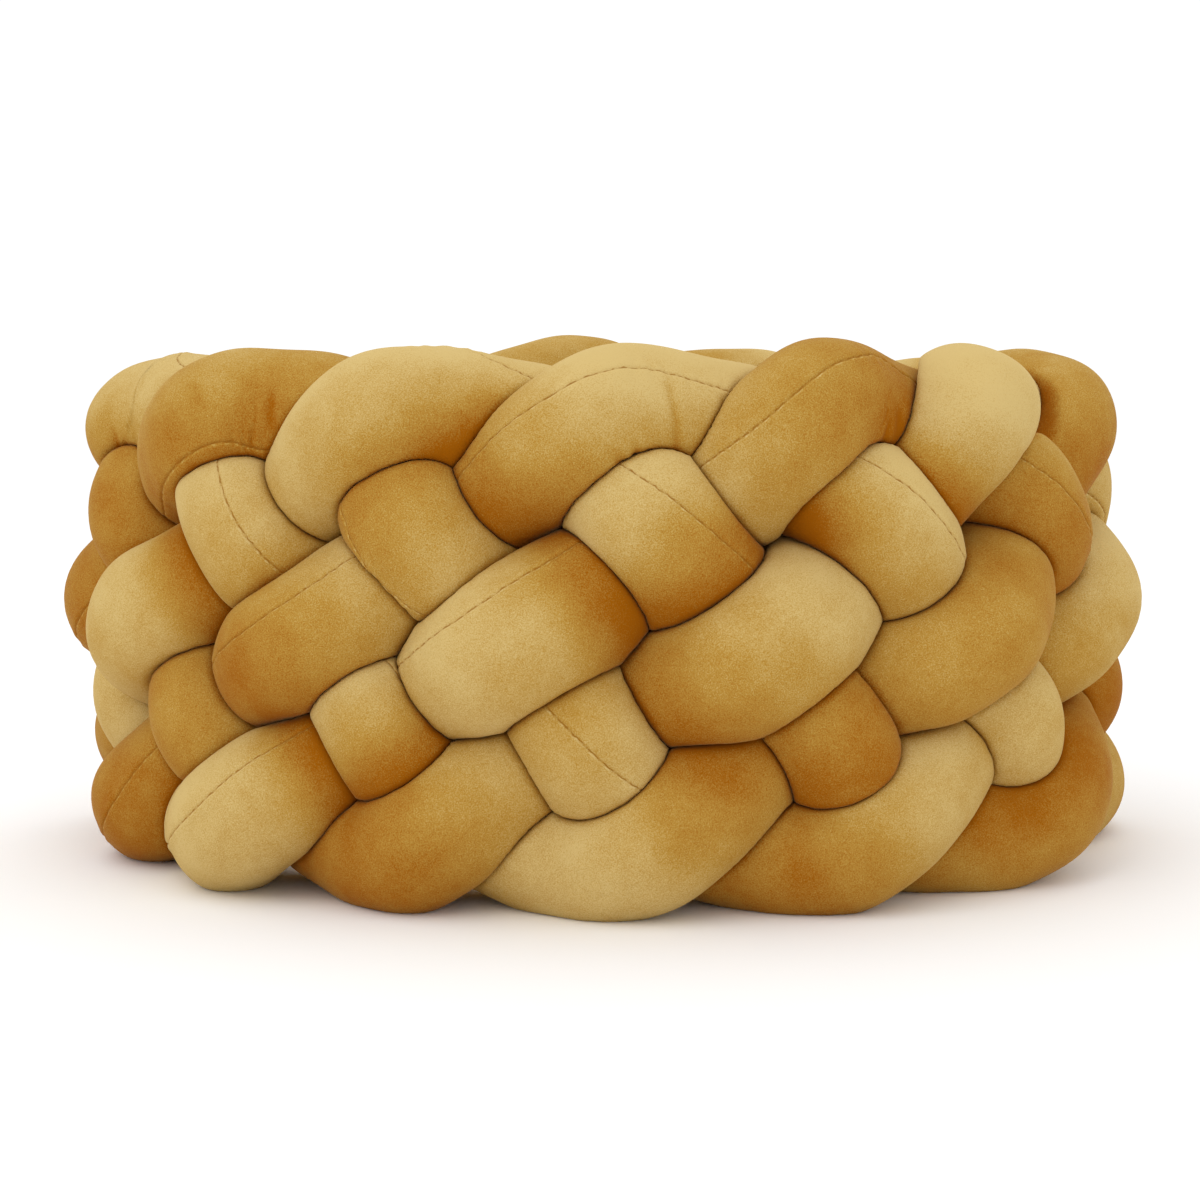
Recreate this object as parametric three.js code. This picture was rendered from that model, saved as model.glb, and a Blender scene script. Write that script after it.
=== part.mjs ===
// Crib bumper plaited from six stuffed velvet tubes.
// The plait is flat, over one and under one, and stands on its long edge, bent round into an oval ring.
// Millimetres, +Z up. The origin is on the floor, in the middle of the ring, whose flat side faces -Y.
import * as THREE from 'three';

const STRAND_COUNT = 6;

// Middle line of the plait seen from above: an oval, a little deeper at its right end and wider along its back.
const RING = { halfLength: 261, halfDepth: 182, deeperRight: 0.07, widerBack: 0.055, backTurn: 5 };

// The plait: how often a strand crosses each row, and where its rows lie.
const PLAIT = {
  pitches: 12,         // crossings in one row, once round the ring
  middleHeight: 157,   // height of the plait's middle above the floor
  lean: 0.27,          // how far a strand leans along the ring for each millimetre up
  start: 1.57,         // where the first strand's first crossing lies, in pitches from the front middle
};

const TUBE = {
  radius: 39,          // free radius of a stuffed tube
  edgeSoftness: 8,     // how sharply it flattens against its neighbours: higher is sharper
  bendLimit: 0.9,      // share of a bend's radius that its inner side may fill
  clearance: 1.7,      // from each tube to the plane halfway to its neighbour
};

// A strand's way through the plait, one row for each half pitch: over and under, up one way and down the other.
// up is above the plait's middle, out is towards the outside of the ring, along is added to the even advance.
const WAY = [
  { place: 'top row, outside', up: 101, out: 10, along: 0 },
  { place: 'top edge', up: 112, out: -5, along: -24 },
  { place: 'top row, inside', up: 100, out: -18, along: -2 },
  { place: 'second row, outside', up: 50, out: 11, along: 4 },
  { place: 'third row, inside', up: -2, out: -16, along: 1 },
  { place: 'fourth row, outside', up: -58, out: 13, along: 1 },
  { place: 'bottom row, inside', up: -104, out: -18, along: -9 },
  { place: 'bottom edge', up: -125, out: 1, along: 14 },
  { place: 'bottom row, outside', up: -101, out: 17, along: 0 },
  { place: 'fourth row, inside', up: -47, out: -16, along: 10 },
  { place: 'third row, outside', up: -7, out: 22, along: 10 },
  { place: 'second row, inside', up: 46, out: -16, along: 3 },
];

// How far each crossing in turn, from the front middle round, lies along the ring from an even spacing.
const SPREAD = [0, -2, 1, 14, 38, 30, 14, 4, 6, 5, 4, 2];

// Where the hand-made plait is uneven: what is added to a strand's way at one step of its two rounds of WAY.
// thick is added to the tube's free radius.
const UNEVEN = [
  { strand: 1, step: 0, along: -23, up: 3, out: 0, thick: 0 },
  { strand: 1, step: 1, along: -29, up: 3, out: 0, thick: 0 },
  { strand: 1, step: 2, along: -12, up: 0, out: 0, thick: 0 },
  { strand: 1, step: 13, along: 0, up: -4, out: 0, thick: 0 },
  { strand: 1, step: 15, along: 0, up: 0, out: 3, thick: 0 },
  { strand: 1, step: 20, along: -4, up: 0, out: -4, thick: 0 },
  { strand: 1, step: 22, along: 3, up: -5, out: 0, thick: 4 },
  { strand: 1, step: 23, along: 0, up: -14, out: 0, thick: 0 },
  { strand: 2, step: 0, along: -9, up: 0, out: -4, thick: 0 },
  { strand: 2, step: 1, along: 0, up: 0, out: -12, thick: 0 },
  { strand: 2, step: 12, along: 5, up: 0, out: 6, thick: 0 },
  { strand: 2, step: 13, along: 0, up: -6, out: 2, thick: 0 },
  { strand: 2, step: 17, along: 2, up: 1, out: 0, thick: -1 },
  { strand: 2, step: 20, along: 2, up: 2, out: -5, thick: 1 },
  { strand: 2, step: 22, along: 4, up: 0, out: 0, thick: 1 },
  { strand: 3, step: 1, along: 0, up: -8, out: 0, thick: 0 },
  { strand: 3, step: 10, along: 10, up: -6, out: 17, thick: 0 },
  { strand: 3, step: 12, along: 8, up: 0, out: 0, thick: 0 },
  { strand: 3, step: 13, along: 6, up: 2, out: 0, thick: 0 },
  { strand: 3, step: 15, along: -7, up: 0, out: 0, thick: 1 },
  { strand: 3, step: 17, along: -5, up: 1, out: 0, thick: 2 },
  { strand: 3, step: 20, along: 2, up: 2, out: -5, thick: 0 },
  { strand: 3, step: 22, along: 1, up: 6, out: 0, thick: 2 },
  { strand: 4, step: 7, along: 10, up: 0, out: 0, thick: 0 },
  { strand: 4, step: 8, along: 24, up: 0, out: 22, thick: 0 },
  { strand: 4, step: 10, along: -6, up: 0, out: 4, thick: 3 },
  { strand: 4, step: 15, along: 1, up: 2, out: 0, thick: 4 },
  { strand: 4, step: 17, along: 4, up: 1, out: 0, thick: 0 },
  { strand: 5, step: 1, along: 0, up: 10, out: 0, thick: 0 },
  { strand: 5, step: 7, along: 10, up: 0, out: 0, thick: 0 },
  { strand: 5, step: 8, along: 22, up: -8, out: 0, thick: 0 },
  { strand: 5, step: 10, along: -5, up: -2, out: 0, thick: 1 },
  { strand: 5, step: 12, along: -3, up: -2, out: 0, thick: 0 },
  { strand: 5, step: 15, along: 5, up: 3, out: 0, thick: 1 },
  { strand: 5, step: 17, along: -2, up: 2, out: 0, thick: -2 },
  { strand: 5, step: 20, along: 4, up: -12, out: 12, thick: 2 },
  { strand: 6, step: 1, along: 0, up: -4, out: 0, thick: 0 },
  { strand: 6, step: 8, along: 6, up: 0, out: 8, thick: 0 },
  { strand: 6, step: 10, along: -3, up: 4, out: 2, thick: 5 },
  { strand: 6, step: 12, along: -3, up: 4, out: 0, thick: 0 },
  { strand: 6, step: 13, along: -6, up: 6, out: 0, thick: 0 },
  { strand: 6, step: 15, along: -5, up: 6, out: 0, thick: -2 },
];

// How finely the solids are cut.
const MESH = { sectionsPerStep: 6, sides: 10, probesPerStep: 12 };

const STEPS = 2 * PLAIT.pitches;

// A smooth closed curve through values that repeat, as a function of the step.
function smoothLoop(values) {
  const count = values.length;
  const at = (list, i) => list[((i % count) + count) % count];
  let slopes = values.map(() => 0);
  for (let pass = 0; pass < 40; pass += 1) {
    const last = slopes;
    slopes = values.map((_, i) => {
      const rise = 3 * (at(values, i + 1) - at(values, i - 1));
      return (rise - at(last, i - 1) - at(last, i + 1)) / 4;
    });
  }
  return (t) => {
    const i = Math.floor(t);
    const f = t - i;
    const [v0, v1] = [at(values, i), at(values, i + 1)];
    const [m0, m1] = [at(slopes, i), at(slopes, i + 1)];
    const bend = 2 * (v0 - v1) + m0 + m1;
    const lift = 3 * (v1 - v0) - 2 * m0 - m1;
    return v0 + f * (m0 + f * (lift + f * bend));
  };
}

class RingPlan extends THREE.Curve {
  getPoint(u, target = new THREE.Vector3()) {
    const turn = 2 * Math.PI * u - Math.PI / 2;
    const across = Math.cos(turn);
    const depth = RING.halfDepth * (1 + RING.deeperRight * across);
    const backShare = (1 + Math.tanh(RING.backTurn * Math.sin(turn))) / 2;
    const halfLength = RING.halfLength * (1 + RING.widerBack * backShare);
    return target.set(halfLength * across, depth * Math.sin(turn), 0);
  }
}

const plan = new RingPlan();
plan.arcLengthDivisions = 720;
const pitch = plan.getLength() / PLAIT.pitches;

const spread = smoothLoop(SPREAD);

function outwardAt(share) {
  const tangent = plan.getTangentAt(share);
  return new THREE.Vector3(tangent.y, -tangent.x, 0);
}

// The middle line of one strand, sampled evenly by step, with the tube's free radius at each sample.
function strandWay(index, samples) {
  const rows = Array.from({ length: STEPS }, (_, step) => {
    const row = { ...WAY[step % WAY.length], thick: 0 };
    for (const extra of UNEVEN) {
      if (extra.strand !== index + 1 || extra.step !== step) continue;
      for (const column of ['along', 'up', 'out', 'thick']) row[column] += extra[column];
    }
    return row;
  });
  const [up, out, along, thick] = ['up', 'out', 'along', 'thick'].map(
    (column) => smoothLoop(rows.map((row) => row[column])),
  );
  const way = [];
  for (let i = 0; i < samples; i += 1) {
    const t = (STEPS * i) / samples;
    const crossing = t / 2 + index + PLAIT.start;
    const advance = crossing * pitch + spread(crossing) + PLAIT.lean * up(t) + along(t);
    const share = THREE.MathUtils.euclideanModulo(advance / (pitch * PLAIT.pitches), 1);
    const outward = outwardAt(share);
    const point = plan.getPointAt(share).addScaledVector(outward, out(t));
    point.z = PLAIT.middleHeight + up(t);
    way.push({ point, outward, free: TUBE.radius + thick(t) });
  }
  return way;
}

const ROUND = STEPS * MESH.probesPerStep;
const OWN_STRETCH = 1.2 * MESH.probesPerStep;
const probes = Array.from({ length: STRAND_COUNT }, (_, index) => (
  strandWay(index, ROUND).map(({ point, free }, order) => ({ point, free, index, order }))
)).flat();

// How far the tube reaches along a ray before it meets a neighbour, a thicker one sooner.
function reach(centre, free, ray, index, share) {
  const gap = new THREE.Vector3();
  let limit = Infinity;
  for (const probe of probes) {
    const apart = Math.abs(probe.order - share * ROUND);
    if (probe.index === index && Math.min(apart, ROUND - apart) < OWN_STRETCH) continue;
    gap.subVectors(probe.point, centre);
    const facing = gap.dot(ray);
    const weight = free ** 2 - probe.free ** 2;
    if (facing > 0) limit = Math.min(limit, (gap.lengthSq() + weight) / (2 * facing));
  }
  return limit;
}

function tubeGeometry(index) {
  const sections = STEPS * MESH.sectionsPerStep;
  const way = strandWay(index, sections);
  const tangents = way.map((_, i) => {
    const before = way[(i + sections - 1) % sections].point;
    const after = way[(i + 1) % sections].point;
    return new THREE.Vector3().subVectors(after, before);
  });
  const positions = [];
  way.forEach(({ point, outward, free }, i) => {
    const spacing = tangents[i].length() / 2;
    const tangent = tangents[i].clone().normalize();
    const before = tangents[(i + sections - 1) % sections].clone().normalize();
    const after = tangents[(i + 1) % sections].clone().normalize();
    const bend = after.sub(before).divideScalar(2 * spacing);
    const side = outward.clone().addScaledVector(tangent, -outward.dot(tangent)).normalize();
    const rise = new THREE.Vector3().crossVectors(tangent, side);
    for (let k = 0; k < MESH.sides; k += 1) {
      const angle = (2 * Math.PI * k) / MESH.sides;
      const ray = side.clone().multiplyScalar(Math.cos(angle)).addScaledVector(rise, Math.sin(angle));
      const inner = Math.max(bend.dot(ray), 1e-6);
      const limit = Math.min(reach(point, free, ray, index, i / sections), TUBE.bendLimit / inner);
      const soft = TUBE.edgeSoftness;
      let radius = (free ** -soft + limit ** -soft) ** (-1 / soft) - TUBE.clearance;
      if (ray.z < 0) radius = Math.min(radius, point.z / -ray.z);
      const corner = point.clone().addScaledVector(ray, radius);
      positions.push(corner.x, corner.y, Math.max(corner.z, 0));
    }
  });
  const triangles = [];
  for (let i = 0; i < sections; i += 1) {
    for (let k = 0; k < MESH.sides; k += 1) {
      const [i2, k2] = [(i + 1) % sections, (k + 1) % MESH.sides];
      const [a, b] = [i * MESH.sides + k, i2 * MESH.sides + k];
      const [c, d] = [i2 * MESH.sides + k2, i * MESH.sides + k2];
      triangles.push(a, d, b, b, d, c);
    }
  }
  const geometry = new THREE.BufferGeometry();
  geometry.setAttribute('position', new THREE.Float32BufferAttribute(positions, 3));
  geometry.setIndex(triangles);
  geometry.computeVertexNormals();
  return geometry;
}

const velvet = new THREE.MeshStandardMaterial({ color: 0xc79a4a, roughness: 0.9, metalness: 0 });

const bumper = new THREE.Group();
for (let index = 0; index < STRAND_COUNT; index += 1) {
  const strand = new THREE.Mesh(tubeGeometry(index), velvet);
  strand.name = `strand_${index + 1}`;
  bumper.add(strand);
}

// The uneven ring is moved so that the middle of its box stands over the origin.
const middle = new THREE.Box3().setFromObject(bumper).getCenter(new THREE.Vector3());
bumper.position.set(-middle.x, -middle.y, 0);

export default bumper;
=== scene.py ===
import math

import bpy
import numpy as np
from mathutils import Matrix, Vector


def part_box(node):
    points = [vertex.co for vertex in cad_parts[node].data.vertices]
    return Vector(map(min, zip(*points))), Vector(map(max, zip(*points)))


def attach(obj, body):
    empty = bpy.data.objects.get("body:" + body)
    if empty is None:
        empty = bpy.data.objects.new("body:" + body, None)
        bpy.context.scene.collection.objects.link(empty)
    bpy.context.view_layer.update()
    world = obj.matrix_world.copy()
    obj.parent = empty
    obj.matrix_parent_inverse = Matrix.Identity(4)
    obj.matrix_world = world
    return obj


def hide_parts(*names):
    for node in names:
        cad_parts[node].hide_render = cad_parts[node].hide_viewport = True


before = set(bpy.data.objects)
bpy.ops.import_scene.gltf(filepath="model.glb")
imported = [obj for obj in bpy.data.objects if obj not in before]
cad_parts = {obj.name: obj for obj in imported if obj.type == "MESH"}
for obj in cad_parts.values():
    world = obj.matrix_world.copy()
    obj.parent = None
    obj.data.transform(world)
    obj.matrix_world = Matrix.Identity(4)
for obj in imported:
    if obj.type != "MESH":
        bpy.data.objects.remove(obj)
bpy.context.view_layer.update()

# %% [markdown]
# # A crib bumper plaited from six stuffed velvet tubes
# The bumper is six long tubes of short-pile velvet, stuffed with fibre and plaited flat: each
# one passes over one neighbour and under the next. The plait stands on its edge and is bent
# round into an oval ring.
# The frame that is already loaded holds six plain solids, one for each tube. This script makes
# the cloth that stands in their place: the same tubes, smoothly rounded, with their sewn seams,
# small folds and brushed pile. Lengths are in millimetres until the meshes are placed.

MM = 0.001
TAU = 2 * math.pi

# %% [markdown]
# ## The plan of the ring
# Seen from above, the middle line of the plait is an oval, a little deeper at its right end and
# wider along its back.
# It could be drawn as a Bezier circle, but every tube is measured along it, so it is kept as a
# formula with a table of its own length.

# %% The oval and its length
RING = {"half_length": 261, "half_depth": 182, "deeper_right": 0.07, "wider_back": 0.055, "back_turn": 5}
PITCHES = 12
OVAL_POINTS = 1441
SHARE_AHEAD = 1e-4


def oval(share):
    """The point of the oval at that share of a full turn, starting at the front."""
    turn = TAU * share - math.pi / 2
    across = np.cos(turn)
    depth = RING["half_depth"] * (1 + RING["deeper_right"] * across)
    back_share = (1 + np.tanh(RING["back_turn"] * np.sin(turn))) / 2
    half_length = RING["half_length"] * (1 + RING["wider_back"] * back_share)
    return np.stack([half_length * across, depth * np.sin(turn)], axis=-1)


oval_share = np.linspace(0, 1, OVAL_POINTS)
oval_steps = np.linalg.norm(np.diff(oval(oval_share), axis=0), axis=1)
oval_length = np.concatenate([[0], np.cumsum(oval_steps)])
pitch = oval_length[-1] / PITCHES
print(f"once round the ring: {oval_length[-1]:.0f} mm, one crossing every {pitch:.1f} mm")


def along_ring(distance):
    """The point of the oval that far along it, and the way outwards there."""
    share = np.interp(np.mod(distance, oval_length[-1]), oval_length, oval_share)
    ahead = oval(share + SHARE_AHEAD) - oval(share - SHARE_AHEAD)
    ahead /= np.linalg.norm(ahead, axis=1)[:, None]
    return oval(share), np.stack([ahead[:, 1], -ahead[:, 0]], axis=1)


# %% [markdown]
# ## The way of each tube through the plait
# A tube climbs to the top edge, turns over, and comes down to the bottom edge, over one
# neighbour and under the next. Six curves could be drawn by hand, but all six go nearly the same
# way, each one pitch further round. So one short table holds that way, a row for each half
# pitch, a row of numbers says how unevenly the crossings are spread round the ring, and a last
# table says where a single tube lies unevenly. A smooth closed curve runs through the rows,
# because a stuffed tube never bends sharply.

# %% The tables of the plait
TUBES = 6
STEPS = 24
MIDDLE_HEIGHT = 157
LEAN = 0.27
START = 1.57
TUBE_RADIUS = 39

# Each row: up, out of the ring, along the ring.
WAY = (
    (101, 10, 0),
    (112, -5, -24),
    (100, -18, -2),
    (50, 11, 4),
    (-2, -16, 1),
    (-58, 13, 1),
    (-104, -18, -9),
    (-125, 1, 14),
    (-101, 17, 0),
    (-47, -16, 10),
    (-7, 22, 10),
    (46, -16, 3),
)
SPREAD = (0, -2, 1, 14, 38, 30, 14, 4, 6, 5, 4, 2)
# Each row: tube, step, and how much further along, up and out it lies there, and how much thicker.
UNEVEN = (
    (1, 0, -23, 3, 0, 0), (1, 1, -29, 3, 0, 0), (1, 2, -12, 0, 0, 0), (1, 13, 0, -4, 0, 0),
    (1, 15, 0, 0, 3, 0), (1, 20, -4, 0, -4, 0), (1, 22, 3, -5, 0, 4), (1, 23, 0, -14, 0, 0),
    (2, 0, -9, 0, -4, 0), (2, 1, 0, 0, -12, 0), (2, 12, 5, 0, 6, 0), (2, 13, 0, -6, 2, 0),
    (2, 17, 2, 1, 0, -1), (2, 20, 2, 2, -5, 1), (2, 22, 4, 0, 0, 1), (3, 1, 0, -8, 0, 0),
    (3, 10, 10, -6, 17, 0), (3, 12, 8, 0, 0, 0), (3, 13, 6, 2, 0, 0), (3, 15, -7, 0, 0, 1),
    (3, 17, -5, 1, 0, 2), (3, 20, 2, 2, -5, 0), (3, 22, 1, 6, 0, 2), (4, 7, 10, 0, 0, 0),
    (4, 8, 24, 0, 22, 0), (4, 10, -6, 0, 4, 3), (4, 15, 1, 2, 0, 4), (4, 17, 4, 1, 0, 0),
    (5, 1, 0, 10, 0, 0), (5, 7, 10, 0, 0, 0), (5, 8, 22, -8, 0, 0), (5, 10, -5, -2, 0, 1),
    (5, 12, -3, -2, 0, 0), (5, 15, 5, 3, 0, 1), (5, 17, -2, 2, 0, -2), (5, 20, 4, -12, 12, 2),
    (6, 1, 0, -4, 0, 0), (6, 8, 6, 0, 8, 0), (6, 10, -3, 4, 2, 5), (6, 12, -3, 4, 0, 0),
    (6, 13, -6, 6, 0, 0), (6, 15, -5, 6, 0, -2),
)


# %% A smooth closed curve through a column
def smooth_loop(values):
    """A function of the step that passes smoothly through the values and repeats."""
    values = np.asarray(values, float)
    count = len(values)
    one = np.eye(count)
    spread = 4 * one + np.roll(one, 1, axis=1) + np.roll(one, -1, axis=1)
    slopes = np.linalg.solve(spread, 3 * (np.roll(values, -1) - np.roll(values, 1)))

    def at(step):
        low = np.floor(step).astype(int)
        part = step - low
        v0, v1 = values[low % count], values[(low + 1) % count]
        m0, m1 = slopes[low % count], slopes[(low + 1) % count]
        lift = 3 * (v1 - v0) - 2 * m0 - m1
        bend = 2 * (v0 - v1) + m0 + m1
        return v0 + part * (m0 + part * (lift + part * bend))

    return at


# %% The middle line of one tube
PROBES_PER_STEP = 20


def tube_way(tube, samples):
    """The middle line of a tube, the way outwards along it, and its radius where it is free."""
    rows = np.array([[*WAY[step % len(WAY)], 0] for step in range(STEPS)], float)
    for which, step, along, up, out, thick in UNEVEN:
        if which == tube:
            rows[step] += [up, out, along, thick]
    step = STEPS * np.arange(samples) / samples
    up, out, along, thick = (smooth_loop(column)(step) for column in rows.T)
    crossing = step / 2 + tube - 1 + START
    distance = crossing * pitch + smooth_loop(SPREAD)(crossing) + LEAN * up + along
    spot, outward = along_ring(distance)
    points = np.column_stack([spot + outward * out[:, None], MIDDLE_HEIGHT + up])
    return {
        "step": step,
        "points": points,
        "outward": np.column_stack([outward, 0 * step]),
        "free": TUBE_RADIUS + thick,
    }


probe_ways = [tube_way(tube, STEPS * PROBES_PER_STEP) for tube in range(1, TUBES + 1)]
probe_points = np.vstack([way["points"] for way in probe_ways])
probe_free = np.concatenate([way["free"] for way in probe_ways])
probe_step = np.concatenate([way["step"] for way in probe_ways])
probe_tube = np.repeat(np.arange(1, TUBES + 1), STEPS * PROBES_PER_STEP)
first_way = probe_ways[0]["points"]
tube_length = np.linalg.norm(first_way - np.roll(first_way, 1, axis=0), axis=1).sum()
print(f"the first tube is {tube_length / 1000:.2f} m long")

# %% [markdown]
# ## Waves for whatever is uneven
# Stuffing, cloth and pile are uneven without a pattern. A noise texture would do for colour, but
# the shapes need numbers too, so a sum of sine waves in random directions is used for both. The
# random numbers start from a fixed seed, so that the bumper comes out the same in each run.

# %% Seeded waves
SEED = 7
WAVE_COUNT = 10
WAVELENGTH_RANGE = (0.7, 1.4)
WAVE_PEAK = 1.6
CREASE_WAVE_MM = 11
LUMP_WAVE_MM = 55
PUCKER_WAVE_MM = 30
WRINKLE_WAVE_MM = 45
PILE_WAVE_MM = 38

chance = np.random.default_rng(SEED)


def make_waves(wavelength):
    """Smooth unevenness, mostly between -1 and 1, with lumps of about that wavelength in mm."""
    way = chance.normal(size=(WAVE_COUNT, 3))
    way /= np.linalg.norm(way, axis=1)[:, None]
    way *= TAU / (wavelength * chance.uniform(*WAVELENGTH_RANGE, size=(WAVE_COUNT, 1)))
    phase = chance.uniform(0, TAU, size=WAVE_COUNT)

    def waves(points):
        return np.sin(points @ way.T + phase).sum(axis=-1) / math.sqrt(WAVE_COUNT / 2) / WAVE_PEAK

    return waves


crease_waves = make_waves(CREASE_WAVE_MM)
lump_waves = make_waves(LUMP_WAVE_MM)
pucker_waves = make_waves(PUCKER_WAVE_MM)
wrinkle_waves = make_waves(WRINKLE_WAVE_MM)
pile_waves = make_waves(PILE_WAVE_MM)

# %% [markdown]
# ## How two stuffed tubes share their room
# Where two full tubes press on each other, each flattens up to a plane halfway between their
# middle lines, and the cloth turns away from it in a round. A cloth simulation is the usual way
# to make padded cloth, but here eleven metres of tube press on each other all along, and that is
# much to settle for a script that runs for each render. So each point of a tube asks how
# far it may go: to the nearest such plane, or to the tube's own free radius, blended softly.

# %% The section frames of a tube
def frames_along(way):
    """Bend, outward side and rise of each section, and the spacing of sections."""
    points = way["points"]
    tangent = np.roll(points, -1, axis=0) - np.roll(points, 1, axis=0)
    spacing = np.linalg.norm(tangent, axis=1) / 2
    tangent /= 2 * spacing[:, None]
    bend = (np.roll(tangent, -1, axis=0) - np.roll(tangent, 1, axis=0)) / (2 * spacing[:, None])
    side = way["outward"] - (way["outward"] * tangent).sum(axis=1)[:, None] * tangent
    side /= np.linalg.norm(side, axis=1)[:, None]
    return bend, side, np.cross(tangent, side), spacing


# %% The reach of each ray
SOFTNESS = 28
BEND_LIMIT = 0.9
CLEARANCE = 0.06
OWN_STRETCH = 1.2
NEAR_MM = 130
CREASE_MM = 0.4
FAR_MM = 1e6
FACING = 1e-6
TINY = 1e-9


def free_reach(tube, way, rays):
    """How far each ray of each section goes before it meets a neighbouring tube.

    The surface that two tubes share is puckered: what one tube gains there the other loses.
    """
    limits = np.full(rays.shape[:2], FAR_MM)
    gains = np.zeros(rays.shape[:2])
    for i, (centre, free) in enumerate(zip(way["points"], way["free"])):
        gap = probe_points - centre
        apart_squared = (gap * gap).sum(axis=1)
        steps_off = np.abs(probe_step - way["step"][i])
        steps_off = np.minimum(steps_off, STEPS - steps_off)
        near = (apart_squared < NEAR_MM**2) & ~((probe_tube == tube) & (steps_off < OWN_STRETCH))
        weight = free**2 - probe_free[near] ** 2
        facing = rays[i] @ gap[near].T
        plane = (apart_squared[near] + weight) / (2 * np.maximum(facing, TINY))
        plane = np.where(facing > FACING, plane, FAR_MM)
        nearest = plane.argmin(axis=1)
        limits[i] = plane[np.arange(len(nearest)), nearest]
        gains[i] = np.sign(probe_tube[near][nearest] - tube)
    meeting = way["points"][:, None] + rays * np.minimum(limits, TUBE_RADIUS)[..., None]
    return limits + CREASE_MM * gains * crease_waves(meeting)


# %% [markdown]
# ## Where the stuffing bulges
# Stuffing is never quite even. Here and there it fills an open gap beside a crossing, or a
# stretch is slack and lies flatter. On the real bumper that is how each tube happened to be
# filled. It could be sculpted with a brush. A table of soft swells does the same in numbers, and
# it changes a tube only where it is free, so the tubes still share their room as before.

# %% The table of swells
# Each row: tube, step, angle round the tube, and millimetres, with a minus where it is flatter.
# Angles are 0 facing out of the ring, -90 on the upper side and 90 on the lower side.
PLUMP = (
    (1, 22.55, -88, 6), (6, 11.5, 75, 5), (4, 15.4, -60, 4),
    (2, 12.4, -45, -7), (2, 13.1, -75, 6), (6, 13.1, -65, 5), (6, 13.6, -58, -10),
    (1, 0.65, -14, 6), (1, 1.3, -28, -14), (1, 1.6, 6, -12), (5, 12.9, -88, 5), (4, 12.9, -76, 4),
)
PLUMP_STEPS = 0.35
PLUMP_DEGREES = 32


def within_half_turn(degrees):
    """The same angle, between -180 and 180."""
    return (degrees + 180) % 360 - 180


def swelling(tube, step, degrees):
    """Extra free radius in mm where the filling bulges."""
    swell = np.zeros(degrees.shape)
    for which, at_step, at_angle, height in PLUMP:
        if which == tube:
            off = (step - at_step) / PLUMP_STEPS
            round_off = within_half_turn(degrees - at_angle) / PLUMP_DEGREES
            swell += height * np.exp(-(off[:, None] ** 2 + round_off**2) / 2)
    return swell


# %% [markdown]
# ## The seam
# Each tube is one strip of velvet, folded right side in, sewn along its edges and turned. The
# seam shows as a fine groove that wanders round the tube. It could be drawn into the colour
# alone, but cloth dips at its stitches, so it is in the shape too. Its place is a short table of
# angles, and the mesh's columns follow it, so that the groove needs few faces.

# %% Where the seam runs
# Each row: tube, step, angle.
SEAM = (
    (1, 3, 36), (1, 9, 100), (1, 15, 170), (1, 21, 190), (1, 23, 180),
    (2, 2, -170), (2, 8, -130), (2, 12.3, -165), (2, 12.95, -130), (2, 13.2, -68), (2, 13.5, -60),
    (2, 14.7, -33), (2, 15.35, -27), (2, 16.7, -50), (2, 16.9, -62), (2, 19, -150),
    (3, 5, 170), (3, 11, 35), (3, 12.4, 33), (3, 12.7, 23), (3, 14.8, 35), (3, 15.05, 52),
    (3, 15.3, 30), (3, 16.8, 9), (3, 17.25, -18), (3, 19, -150),
    (4, 7, -150), (4, 11, -140), (4, 13.15, -93), (4, 13.5, -63), (4, 14.6, -8), (4, 14.95, -30),
    (4, 15.3, -43), (4, 17, -63), (4, 19, -160),
    (5, 6, 80), (5, 7.8, 22), (5, 8.2, 3), (5, 9.7, -21), (5, 10.4, -29), (5, 11.45, -27),
    (5, 11.8, -40), (5, 12.45, -43), (5, 12.85, -51), (5, 13.3, -40), (5, 14.6, -15),
    (5, 15, -29), (5, 17, -110), (5, 19, -170),
    (6, 6, 60), (6, 7.65, -8), (6, 8.2, -30), (6, 9.7, -33), (6, 10.2, -42), (6, 11.5, -32),
    (6, 12.4, -33), (6, 12.9, -55), (6, 13.3, -55), (6, 14.5, 9), (6, 14.9, -1), (6, 17, -100),
    (6, 19, -170),
)
SEAM_BLUR = 0.15


def round_the_loop(rows, tube, column, step, blur):
    """A column's values for one tube, smoothed over a part of a step, and closed once round."""
    mine = [row for row in rows if row[0] == tube]
    sharp = np.interp(step, [row[1] for row in mine], [row[column] for row in mine], period=STEPS)
    off = np.minimum(step, STEPS - step)
    weight = np.exp(-((off / blur) ** 2) / 2)
    return np.fft.irfft(np.fft.rfft(sharp) * np.fft.rfft(weight / weight.sum()), len(step))


def seam_angle(tube, step):
    """The seam's place round the tube, turning the shorter way between two rows."""
    turned = [
        (which, at_step, math.cos(math.radians(angle)), math.sin(math.radians(angle)))
        for which, at_step, angle in SEAM
    ]
    cosine = round_the_loop(turned, tube, 2, step, SEAM_BLUR)
    sine = round_the_loop(turned, tube, 3, step, SEAM_BLUR)
    return np.arctan2(sine, cosine)


# %% The columns of the mesh, close together at the seam
SECTIONS_PER_STEP = 34
SIDES = 94
SEAM_SIDE_MM = (0.4, 0.8, 1.3, 2.0, 3.2, 4.8)

seam_side = np.array(SEAM_SIDE_MM) / TUBE_RADIUS
wide = np.linspace(seam_side[-1], TAU - seam_side[-1], SIDES - 2 * len(seam_side) + 1)
column_turn = np.concatenate([[0], seam_side[:-1], wide, TAU - seam_side[-2::-1]])
column_turn_signed = np.where(column_turn > math.pi, column_turn - TAU, column_turn)
print(f"{len(column_turn)} columns, {STEPS * SECTIONS_PER_STEP} sections on each tube")

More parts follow.
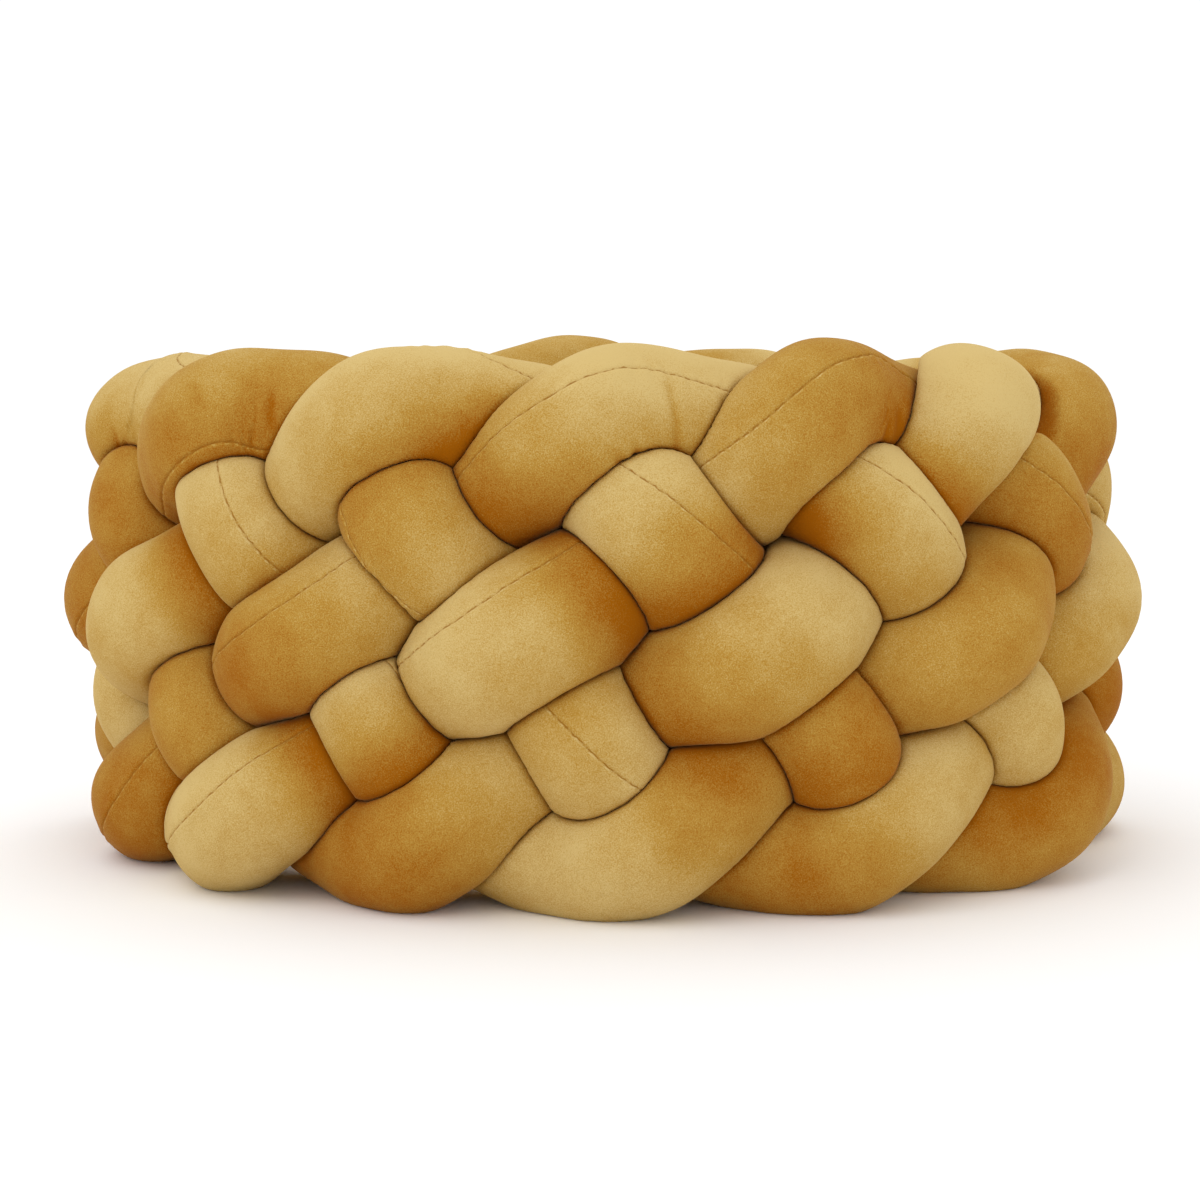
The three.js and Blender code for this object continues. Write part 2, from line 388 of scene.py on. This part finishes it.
# %% [markdown]
# ## Small unevenness
# A stuffed tube isn't perfectly round: the filling is lumpy, the cloth puckers beside the
# stitches, and it wrinkles on the inside of a bend. A displacement modifier could do it from
# textures, but the colour of the pile needs the same wrinkles, so each is worked out here, as a
# height in millimetres that is added to the tube's radius.

# %% Lumps, seam groove, puckers and bend wrinkles
LUMP_MM = 0.9
GROOVE_MM = 0.7
GROOVE_HALF_WIDTH = 0.7
LIP_MM = 0.35
LIP_OFF_SEAM = 3
LIP_HALF_WIDTH = 1.6
PUCKER_MM = 0.35
PUCKER_SPACING = 9
PUCKER_WANDER = 2.5
PUCKER_REACH = 9
WRINKLE_MM = 2.2
WRINKLE_SPACING = 13
WRINKLE_WANDER = 3.5


def cloth_relief(points, across, along, inner_bend):
    """The height of everything that is uneven, and of the wrinkles alone."""
    lumps = LUMP_MM * lump_waves(points)
    groove = -GROOVE_MM * np.exp(-((across / GROOVE_HALF_WIDTH) ** 2))
    groove += LIP_MM * np.exp(-(((np.abs(across) - LIP_OFF_SEAM) / LIP_HALF_WIDTH) ** 2))
    pucker_phase = TAU * along / PUCKER_SPACING + PUCKER_WANDER * pucker_waves(points)
    puckers = PUCKER_MM * np.sin(pucker_phase) * np.exp(-((across / PUCKER_REACH) ** 2))
    wrinkle = np.sin(TAU * along / WRINKLE_SPACING + WRINKLE_WANDER * wrinkle_waves(points))
    wrinkle = -WRINKLE_MM * np.maximum(wrinkle, 0) ** 3 * np.clip(inner_bend, 0, 1)
    return lumps + groove + puckers + wrinkle, wrinkle


# %% [markdown]
# ## Gathers
# Where a tube turns round its neighbour, the spare cloth on the inside is gathered into a few
# narrow folds across it. A cloth brush could pull them in. Each is a row of a table here: a
# narrow dent that runs round a part of the tube and fades at both ends.

# %% The table of gathers
# Each row: tube, step, the angles from which and to which it runs, and its depth in mm.
FOLDS = (
    (5, 13.02, -38, 22, 0.8), (5, 12.42, 22, 42, 1.0), (5, 12.58, 20, 40, 1.4),
    (5, 12.76, 22, 40, 1.0), (6, 13.0, 4, 30, 1.0), (6, 13.16, -6, 28, 1.3),
    (3, 12.46, -28, 0, 0.7), (3, 13.2, -26, 4, 1.1), (2, 12.6, 4, 34, 1.2),
    (2, 12.76, 8, 34, 0.8), (4, 13.46, 6, 40, 1.0),
)
FOLD_STEPS = 0.035
FOLD_SLANT = 0.0012
FOLD_FADE_DEG = 9


def gathers(tube, step, degrees):
    """How deep the cloth folds where a bend gathers it, in mm."""
    deep = np.zeros(degrees.shape)
    for which, at_step, low, high, depth in FOLDS:
        if which == tube:
            off = (step[:, None] - at_step - FOLD_SLANT * (degrees - low)) / FOLD_STEPS
            middle, reach = (low + high) / 2, (high - low) / 2
            round_off = np.abs(within_half_turn(degrees - middle))
            fade = np.clip((reach + FOLD_FADE_DEG - round_off) / (2 * FOLD_FADE_DEG), 0, 1)
            deep += depth * np.exp(-(off**2) / 2) * fade * fade * (3 - 2 * fade)
    return deep


# %% [markdown]
# ## How the pile lies
# Velvet looks light where its pile leans towards the light and deep orange where it leans away,
# and hands have stroked each stretch of tube another way. Real pile could be made of hairs, but
# it is only about a millimetre long and there would be millions, so the sheen and shade of its
# lie are painted into the colour, as one number on each point. The table gives how light a
# stretch is painted, from 0 for deep to 1 for pale, with the painted shade of neighbouring tubes
# in places, and how much lighter its upper side is painted than its lower side, as painted light
# from above. Stretches that aren't in the table, round the back, get seeded values of the same
# kind.

# %% The table of the pile
# Each row: tube, step, how light it is painted, with its sheen and shade, and how much lighter its upper
# side is painted, as painted light from above.
PILE = (
    (1, 15, 0.25, 0.1), (1, 16.7, 0.3, 0.1), (1, 17.4, 0.5, 0.1), (1, 19.3, 0.15, 0.0),
    (1, 19.7, 0.3, 0.0), (1, 20.3, 0.7, 0.0), (1, 21.4, 0.2, 0.0), (1, 21.7, 0.38, 0.2),
    (1, 22.2, 0.72, 0.1), (1, 22.7, 0.9, 0.1), (1, 23.6, 0.0, 0.2), (1, 24, 0.85, 0.2),
    (1, 0.5, 0.95, 0.2), (1, 2.8, 0.7, 0.1),
    (2, 0.1, 0.3, 0.15), (2, 1.2, 0.45, 0.1), (2, 12.3, 0.6, 0.2), (2, 13, 0.65, 0.3),
    (2, 14.7, 0.95, 0.0), (2, 15.4, 0.5, 0.1), (2, 16.7, 0.95, 0.0), (2, 16.95, 0.7, 0.0),
    (2, 17.2, 0.05, 0.0), (2, 19, 0.95, 0.0), (2, 19.6, 0.8, -0.1), (2, 20.1, 0.3, -0.4),
    (2, 21.3, 0.5, 0.0), (2, 21.8, 0.48, 0.0), (2, 22.4, 0.32, 0.0), (2, 23.7, 0.28, 0.15),
    (3, 10.2, 0.25, 0.0), (3, 12, 0.42, 0.2), (3, 12.8, 0.35, 0.25), (3, 14.6, 0.2, 0.0),
    (3, 15.2, 0.7, 0.0), (3, 16.7, 0.55, 0.0), (3, 17.3, 0.85, 0.0), (3, 19.1, 0.2, 0.0),
    (3, 20, 0.85, 0.0), (3, 21.35, 0.35, 0.0), (3, 21.75, 0.75, 0.1), (3, 22.1, 0.85, 0.1),
    (4, 0.6, 0.85, 0.0), (4, 9.6, 0.8, 0.0), (4, 10.3, 0.85, 0.0), (4, 10.5, 0.05, 0.0),
    (4, 11.8, 0.9, 0.1), (4, 12.5, 0.48, 0.5), (4, 13.15, 0.2, 0.9), (4, 13.4, 0.02, 0.9),
    (4, 14.6, 0.95, 0.0), (4, 14.9, 0.75, 0.0), (4, 15.25, 0.05, 0.0), (4, 16.7, 0.4, 0.0),
    (4, 17.3, 0.1, 0.0), (4, 18.8, 0.24, -0.3), (4, 19.9, 0.26, -0.3),
    (5, 1.3, 0.55, 0.1), (5, 8, 0.22, 0.1), (5, 9.8, 0.25, 0.1), (5, 10.1, 0.4, 0.1),
    (5, 10.5, 0.7, 0.1), (5, 11.5, 0.16, 0.0), (5, 11.9, 0.45, 0.2), (5, 12.5, 0.76, 0.3),
    (5, 13.2, 0.62, 0.45), (5, 14.6, 0.3, 1.0), (5, 15, 0.85, 0.5), (5, 17, 0.8, 0.0),
    (5, 19.4, 0.55, 0.0),
    (6, 5.2, 0.9, 0.0), (6, 7.7, 0.95, 0.0), (6, 8.1, 0.8, 0.0), (6, 8.4, -0.05, 0.0),
    (6, 9.7, 0.95, 0.0), (6, 10.1, 0.75, 0.0), (6, 10.5, -0.1, 0.0), (6, 11.4, 0.8, 0.0),
    (6, 12.1, 0.5, 0.0), (6, 12.8, 0.2, 0.1), (6, 13.4, 0.16, 0.1), (6, 14.8, 0.35, 0.2),
    (6, 15.2, 0.25, 0.1), (6, 17, 0.1, 0.0),
)
PILE_BLUR = 0.08
FILLED_WITHIN = 1.3
# Seeded rows: painted sheen and shade from these values, and a little painted light on the upper side.
SEEDED_LIGHTS = [0.1, 0.3, 0.7, 0.95]
SEEDED_UPPER_PAINTED_LIGHT = 0.1


def pile_rows(tube):
    """The table's rows for one tube, with seeded ones wherever it has none nearby."""
    mine = [row for row in PILE if row[0] == tube]
    placed = np.array([row[1] % STEPS for row in mine])
    for step in np.arange(0, STEPS, 1.0):
        apart = np.abs(placed - step)
        if np.minimum(apart, STEPS - apart).min() > FILLED_WITHIN:
            mine.append((tube, step, chance.choice(SEEDED_LIGHTS), SEEDED_UPPER_PAINTED_LIGHT))
    return sorted((row[0], row[1] % STEPS, *row[2:]) for row in mine)


# %% [markdown]
# ## One velvet tube
# The sections, columns and heights come together into a closed mesh. A curve with a round bevel
# would be quicker, but its section can't change with what presses on it, so each point is put in
# place by its own ray. The mesh carries three numbers on each point for its material: how light
# the pile is painted, with its painted sheen and with painted shade in creases and where tubes
# touch, how far the point is from the seam, and how far along the tube it is.

# %% The shape of one tube
WRINKLE_BEND = 1.6
WRINKLE_FROM = 0.4
PRESSED_MM = 5
TOUCHING_MM = 0.8
CREASE_SHADE_EDGE_MM = 0.5
CREASE_SHADE_DEPTH_MM = 6
STRAIGHT = 1e-6


def tube_shape(tube):
    """The points of one tube's cloth, and what its pile needs to know about each of them, with masks for
    painted shade in creases and where tubes touch.
    """
    way = tube_way(tube, STEPS * SECTIONS_PER_STEP)
    bend, side, rise, spacing = frames_along(way)
    turn = seam_angle(tube, way["step"])[:, None] + column_turn[None, :]
    rays = side[:, None] * np.cos(turn)[..., None] + rise[:, None] * np.sin(turn)[..., None]
    bending = (rays * bend[:, None]).sum(axis=2)
    limits = np.minimum(free_reach(tube, way, rays), BEND_LIMIT / np.maximum(bending, STRAIGHT))
    free = way["free"][:, None] + swelling(tube, way["step"], np.degrees(turn))
    soft = free**-SOFTNESS + limits**-SOFTNESS
    radius = soft ** (-1 / SOFTNESS) - CLEARANCE

    across = column_turn_signed[None, :] * radius
    along = (np.cumsum(spacing) - spacing[0])[:, None] + 0 * across
    base = way["points"][:, None] + rays * radius[..., None]
    inner_bend = bending * TUBE_RADIUS * WRINKLE_BEND - WRINKLE_FROM
    relief, wrinkle = cloth_relief(base, across, along, inner_bend)
    pressed = np.clip((free - radius) / PRESSED_MM, 0, 1)
    # How closely the cloth touches a neighbour here: a mask for painted shade where tubes touch.
    touching_shade_mask = np.clip((free - CLEARANCE - radius) / TOUCHING_MM, 0, 1)
    gathered = gathers(tube, way["step"], within_half_turn(np.degrees(turn)))
    radius = radius + relief * (1 - pressed) ** 2 - gathered
    # How deep the point lies in a crease: a mask for painted shade in the crease.
    crease_shade_mask = np.clip((free + CREASE_SHADE_EDGE_MM - radius) / CREASE_SHADE_DEPTH_MM, 0, 1)

    # Cloth that would go below the floor is pressed flat on it.
    points = way["points"][:, None] + rays * radius[..., None]
    points[..., 2] = np.maximum(points[..., 2], 0)
    return {
        "step": way["step"],
        "rise": rays[..., 2],
        "base": base,
        "points": points,
        "across": across,
        "along": along,
        "crease_shade_mask": crease_shade_mask,
        "touching_shade_mask": touching_shade_mask,
        "wrinkle": wrinkle,
        "gathered": gathered,
    }


# %% The pile of one tube
# Painted light and shade: the upper side is painted lighter, as if lit from above, and creases, touching
# cloth, wrinkle valleys and gathers are painted darker, as shade.
UPPER_PAINTED_LIGHT = 0.08
PILE_WAVES = 0.05
CREASE_PAINTED_SHADE = 0.31
TOUCHING_PAINTED_SHADE = 0.19
WRINKLE_PAINTED_SHADE = 0.12
GATHER_PAINTED_SHADE = 0.2


def tube_pile(tube, shape):
    """How light the pile is on each point, with painted light on its upper side and painted shade in
    creases, where tubes touch, and in wrinkles and gathers.
    """
    rows = pile_rows(tube)
    light = round_the_loop(rows, tube, 2, shape["step"], PILE_BLUR)[:, None]
    upper_painted_light = round_the_loop(rows, tube, 3, shape["step"], PILE_BLUR)[:, None]
    # Painted light on the upper side, then painted shade in creases, where tubes touch, in wrinkle
    # valleys and in gathers.
    pile_tone_and_painted_light = light + (upper_painted_light + UPPER_PAINTED_LIGHT) * shape["rise"] + PILE_WAVES * pile_waves(shape["base"])
    pile_tone_and_painted_light = pile_tone_and_painted_light - CREASE_PAINTED_SHADE * shape["crease_shade_mask"] - TOUCHING_PAINTED_SHADE * shape["touching_shade_mask"]
    return pile_tone_and_painted_light + WRINKLE_PAINTED_SHADE * shape["wrinkle"] - GATHER_PAINTED_SHADE * shape["gathered"]


# %% Six tubes and their faces
def closed_quads(sections, sides):
    """The faces of a grid of points that closes both round the tube and along it."""
    i, k = np.meshgrid(np.arange(sections), np.arange(sides), indexing="ij")
    i2, k2 = (i + 1) % sections, (k + 1) % sides
    corners = [i * sides + k, i * sides + k2, i2 * sides + k2, i2 * sides + k]
    return np.stack(corners, axis=-1).reshape(-1, 4)


tubes = []
for tube in range(1, TUBES + 1):
    shape = tube_shape(tube)
    shape["pile_tone_and_painted_light"] = tube_pile(tube, shape)
    tubes.append(shape)
quads = closed_quads(STEPS * SECTIONS_PER_STEP, len(column_turn))
print(f"{2 * len(quads)} triangles a tube, {2 * len(quads) * TUBES} in all")

# %% [markdown]
# ## Velvet
# Short-pile polyester velvet is cut and brushed, so its surface is a carpet of fibre ends: very
# rough, with almost no gloss, a pale sheen where it is seen at a low angle, and a fine speckle.
# Its colour is mustard gold. A photograph of velvet could be wrapped round each tube, but it
# would smear at the bends, so the finish is built from nodes: the pile's lie, with its painted
# sheen and shade, picks a colour between a deep orange brown for painted shade and a pale straw
# gold for painted sheen, and noise makes it uneven.

# %% Colours, and a function that adds a node
def linear(hex_colour):
    """An sRGB hex colour as Blender's linear red, green, blue and alpha."""
    parts = [int(hex_colour[i : i + 2], 16) / 255 for i in (1, 3, 5)]
    return (*[p / 12.92 if p <= 0.04045 else ((p + 0.055) / 1.055) ** 2.4 for p in parts], 1)


def add_node(material, kind, settings=None, **links):
    """Adds a node, sets its own settings and sockets, and links its inputs by name or number."""
    node = material.node_tree.nodes.new(kind)
    for name, value in (settings or {}).items():
        if hasattr(node, name) and name not in node.inputs:
            setattr(node, name, value)
        else:
            node.inputs[int(name) if name.isdigit() else name].default_value = value
    for name, output in links.items():
        key = int(name[1:]) if name[0] == "n" and name[1:].isdigit() else name.replace("_", " ")
        material.node_tree.links.new(output, node.inputs[key])
    return node


# %% The unevenness of the pile
# Fibre ends are far finer than a tenth of a millimetre, too fine to show, so the grain is coarser.
GRAIN_MM = 0.7
CLUMP_MM = 7
PATCH_MM = 17
GRAIN_SHADE = 1.1
CLUMP_SHADE = 0.14
PATCH_SHADE = 0.26


def pile_noise(velvet, place):
    """Fine speckle and small tufts together, and the broad patches that a hand leaves."""
    shades = []
    for size_mm, detail, shade in (
        (GRAIN_MM, 2.0, GRAIN_SHADE),
        (CLUMP_MM, 3.0, CLUMP_SHADE),
        (PATCH_MM, 2.0, PATCH_SHADE),
    ):
        noise = add_node(
            velvet, "ShaderNodeTexNoise", {"Scale": 1 / (size_mm * MM), "Detail": detail}, Vector=place
        )
        around_zero = {"operation": "MULTIPLY_ADD", "1": shade, "2": -shade / 2}
        shades.append(add_node(velvet, "ShaderNodeMath", around_zero, n0=noise.outputs["Fac"]).outputs[0])
    grain, clump, patch = shades
    speckle = add_node(velvet, "ShaderNodeMath", {"operation": "ADD"}, n0=grain, n1=clump)
    return speckle.outputs[0], patch


# %% The stitches of the seam
# Distances in mm. The thread is a frayed line that sinks between stitches, and just beside it
# a pale dot is painted between each two stitches, as a painted highlight.
STITCH_MM = 4.5
FRAY_MM = 3
FRAY_WANDER = 1.6
HIGHLIGHT_DOTS_OFF_SEAM = 1.1
HIGHLIGHT_DOTS_HALF_WIDTH = 0.5
RANGE = ("From Min", "From Max", "To Min", "To Max")
HIGHLIGHT_DOTS_BY_STITCH = dict(zip(RANGE, (1.2, 1.9, 0.08, 0.32)))
THREAD_OFF_SEAM = dict(zip(RANGE, (0.2, 0.6, 1.0, 0.0)))
THREAD_BY_STITCH = dict(zip(RANGE, (0.5, 1.0, 0.2, 0.75)))


def seam_marks(velvet, place, straight, along):
    """The painted highlight of pale dots beside the seam, and how much of the thread shows."""
    fray = add_node(
        velvet, "ShaderNodeTexNoise", {"Scale": 1 / (FRAY_MM * MM), "Detail": 1.0}, Vector=place
    )
    frayed = add_node(
        velvet,
        "ShaderNodeMath",
        {"operation": "MULTIPLY_ADD", "1": FRAY_WANDER},
        n0=fray.outputs["Fac"],
        n2=straight,
    )
    middled = {"operation": "SUBTRACT", "1": FRAY_WANDER / 2}
    across = add_node(velvet, "ShaderNodeMath", middled, n0=frayed.outputs[0]).outputs[0]
    stitched = {"operation": "PINGPONG", "1": STITCH_MM / 2}
    stitch = add_node(velvet, "ShaderNodeMath", stitched, n0=along).outputs[0]

    beside = {"operation": "COMPARE", "1": HIGHLIGHT_DOTS_OFF_SEAM, "2": HIGHLIGHT_DOTS_HALF_WIDTH}
    lip = add_node(velvet, "ShaderNodeMath", beside, n0=across)
    highlight_by_stitch = add_node(velvet, "ShaderNodeMapRange", HIGHLIGHT_DOTS_BY_STITCH, Value=stitch)
    seam_dot_highlight = add_node(
        velvet, "ShaderNodeMath", {"operation": "MULTIPLY"}, n0=lip.outputs[0], n1=highlight_by_stitch.outputs[0]
    )

    off_seam = add_node(velvet, "ShaderNodeMath", {"operation": "ABSOLUTE"}, n0=across)
    on_seam = add_node(velvet, "ShaderNodeMapRange", THREAD_OFF_SEAM, Value=off_seam.outputs[0])
    shows = add_node(velvet, "ShaderNodeMapRange", THREAD_BY_STITCH, Value=stitch)
    thread = add_node(
        velvet, "ShaderNodeMath", {"operation": "MULTIPLY"}, n0=on_seam.outputs[0], n1=shows.outputs[0]
    )
    return seam_dot_highlight.outputs[0], thread.outputs[0]


# %% The velvet material
# The pile's ramp runs from a deep orange brown for painted shade, through the middle gold, to a pale
# straw gold for painted sheen.
SHADED_DEEP = "#985701"
MIDDLE = "#b1893b"
SHEEN_PALE = "#ccb173"
SHEEN = "#ecd49a"
THREAD = "#94621c"
BUMP_STRENGTH = 0.5
BUMP_MM = 0.5
# A carpet of fibre ends scatters light: very rough, hardly any gloss, and a soft sheen.
FINISH = {
    "Roughness": 0.92,
    "IOR": 1.46,
    "Specular IOR Level": 0.08,
    "Sheen Weight": 0.22,
    "Sheen Roughness": 0.28,
    "Sheen Tint": linear(SHEEN),
}


def make_velvet():
    velvet = bpy.data.materials.new("mustard_velvet")
    velvet.use_nodes = True
    shader = velvet.node_tree.nodes["Principled BSDF"]
    for socket, value in FINISH.items():
        shader.inputs[socket].default_value = value

    place = add_node(velvet, "ShaderNodeTexCoord").outputs["Object"]
    pile_tone_and_painted_light, straight, along = (
        add_node(velvet, "ShaderNodeAttribute", {"attribute_name": name}).outputs["Fac"]
        for name in ("pile_tone_and_painted_light", "across", "along")
    )
    speckle, patch = pile_noise(velvet, place)
    seam_dot_highlight, thread = seam_marks(velvet, place, straight, along)
    # The pile value carries painted sheen and shade, the seam's pale dots add a painted highlight, and
    # the noise adds random tone.
    tone_with_dot_highlight = add_node(velvet, "ShaderNodeMath", {"operation": "ADD"}, n0=pile_tone_and_painted_light, n1=seam_dot_highlight)
    uneven = add_node(velvet, "ShaderNodeMath", {"operation": "ADD"}, n0=speckle, n1=patch)
    tone_and_painted_light = add_node(
        velvet, "ShaderNodeMath", {"operation": "ADD"}, n0=tone_with_dot_highlight.outputs[0], n1=uneven.outputs[0]
    )
    ramp = add_node(velvet, "ShaderNodeValToRGB", Fac=tone_and_painted_light.outputs[0])
    stops = ramp.color_ramp.elements
    stops[0].position, stops[0].color = 0.0, linear(SHADED_DEEP)
    stops[1].position, stops[1].color = 1.0, linear(SHEEN_PALE)
    stops.new(0.5).color = linear(MIDDLE)

    # A colour mix takes its two colours in sockets 6 and 7 and gives its result in output 2.
    mixed = {"data_type": "RGBA", "7": linear(THREAD)}
    colour = add_node(velvet, "ShaderNodeMix", mixed, Factor=thread, n6=ramp.outputs["Color"])
    velvet.node_tree.links.new(colour.outputs[2], shader.inputs["Base Color"])
    roughened = {"Strength": BUMP_STRENGTH, "Distance": BUMP_MM * MM}
    bump = add_node(velvet, "ShaderNodeBump", roughened, Height=speckle)
    velvet.node_tree.links.new(bump.outputs["Normal"], shader.inputs["Normal"])
    return velvet


velvet = make_velvet()
print("velvet made of", len(velvet.node_tree.nodes), "nodes")


# %% [markdown]
# ## Placing the tubes
# The solids stand with the middle of their box over the origin. The cloth comes from the same
# tables, so each tube could be fitted on its own, but one small move for all six, from the
# middles of both sets of boxes, keeps them together as they were made. Each velvet tube then
# rides on the one body and stands in place of its solid, which is hidden.

# %% Placing the six tubes over their solids
def box_middle(low, high):
    return (np.asarray(low, float) + np.asarray(high, float)) / 2


solid_middles = [box_middle(*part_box(f"strand_{tube}")) for tube in range(1, TUBES + 1)]
cloth_middles = [
    box_middle(made["points"].min(axis=(0, 1)), made["points"].max(axis=(0, 1))) * MM for made in tubes
]
shift = np.mean(np.array(solid_middles) - np.array(cloth_middles), axis=0)
shift[2] = 0
print("cloth moved over the solids by, in mm:", np.round(shift / MM, 2))

for number, made in enumerate(tubes, start=1):
    points = made["points"].reshape(-1, 3) * MM + shift
    mesh = bpy.data.meshes.new(f"velvet_tube_{number}")
    mesh.from_pydata(points.tolist(), [], quads.tolist())
    for name in ("pile_tone_and_painted_light", "across", "along"):
        attribute = mesh.attributes.new(name, "FLOAT", "POINT")
        attribute.data.foreach_set("value", made[name].ravel().astype(np.float32))
    mesh.polygons.foreach_set("use_smooth", np.ones(len(quads), bool))
    mesh.materials.append(velvet)
    piece = bpy.data.objects.new(f"velvet_tube_{number}", mesh)
    bpy.context.collection.objects.link(piece)
    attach(piece, "root")
    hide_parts(f"strand_{number}")

# %% [markdown]
# ## Floor, light and camera
# The bumper stands on a plain pale floor that runs into a white surround, in wide soft light
# from above and from the left. A studio would use a curved paper sweep. Here a wide flat floor
# under an even white surround does the same, because its far edge is white against white. The
# camera is low and a little above the bumper, with a long lens.

# %% Floor
FLOOR_M = 30
FLOOR_PAINT = "#fcfcfc"

half = FLOOR_M / 2
corners = [(-half, -half, 0), (half, -half, 0), (half, half, 0), (-half, half, 0)]
floor_mesh = bpy.data.meshes.new("pale_floor")
floor_mesh.from_pydata(corners, [], [(0, 1, 2, 3)])
floor = bpy.data.objects.new("pale_floor", floor_mesh)
bpy.context.collection.objects.link(floor)
paint = bpy.data.materials.new("pale_paint")
paint.use_nodes = True
paint_shader = paint.node_tree.nodes["Principled BSDF"]
paint_shader.inputs["Base Color"].default_value = linear(FLOOR_PAINT)
paint_shader.inputs["Roughness"].default_value = 0.9
paint_shader.inputs["Specular IOR Level"].default_value = 0.0
floor_mesh.materials.append(paint)

# %% Light
SURROUND_STRENGTH = 1.05
LAMPS_AIM_AT = (0, 0, 0.15)
# Each row: name, place in metres, size in metres, power in watts.
LAMPS = (
    ("key_above_left", (-1.3, -1.9, 2.6), 2.4, 14),
    ("above", (0.0, 0.2, 3.0), 2.6, 6),
)

scene = bpy.context.scene
scene.view_settings.view_transform = "Standard"
world = bpy.data.worlds.new("white_surround")
world.use_nodes = True
world.node_tree.nodes["Background"].inputs["Color"].default_value = (1, 1, 1, 1)
world.node_tree.nodes["Background"].inputs["Strength"].default_value = SURROUND_STRENGTH
scene.world = world

for name, place, size, power in LAMPS:
    lamp = bpy.data.lights.new(name, "AREA")
    lamp.shape = "DISK"
    lamp.size = size
    lamp.energy = power
    holder = bpy.data.objects.new(name, lamp)
    bpy.context.collection.objects.link(holder)
    away = np.array(place) - np.array(LAMPS_AIM_AT)
    flat = math.hypot(away[0], away[1])
    holder.location = place
    holder.rotation_euler = (math.atan2(flat, away[2]), 0, math.atan2(away[0], -away[1]))

# %% Camera
CAMERA_FROM_CLOTH_MM = (-5, -1543.8, 321)
CAMERA_DOWN_DEG = 6.19
LENS_MM = 50
SENSOR_MM = 24

lens = bpy.data.cameras.new("camera")
lens.lens = LENS_MM
lens.sensor_width = SENSOR_MM
camera = bpy.data.objects.new("camera", lens)
camera.location = np.array(CAMERA_FROM_CLOTH_MM) * MM + shift
camera.rotation_euler = (math.radians(90 - CAMERA_DOWN_DEG), 0, 0)
bpy.context.collection.objects.link(camera)
scene.camera = camera

# %% [markdown]
# ## Bringing the scene up to date

# %% Bringing the scene up to date
bpy.context.view_layer.update()
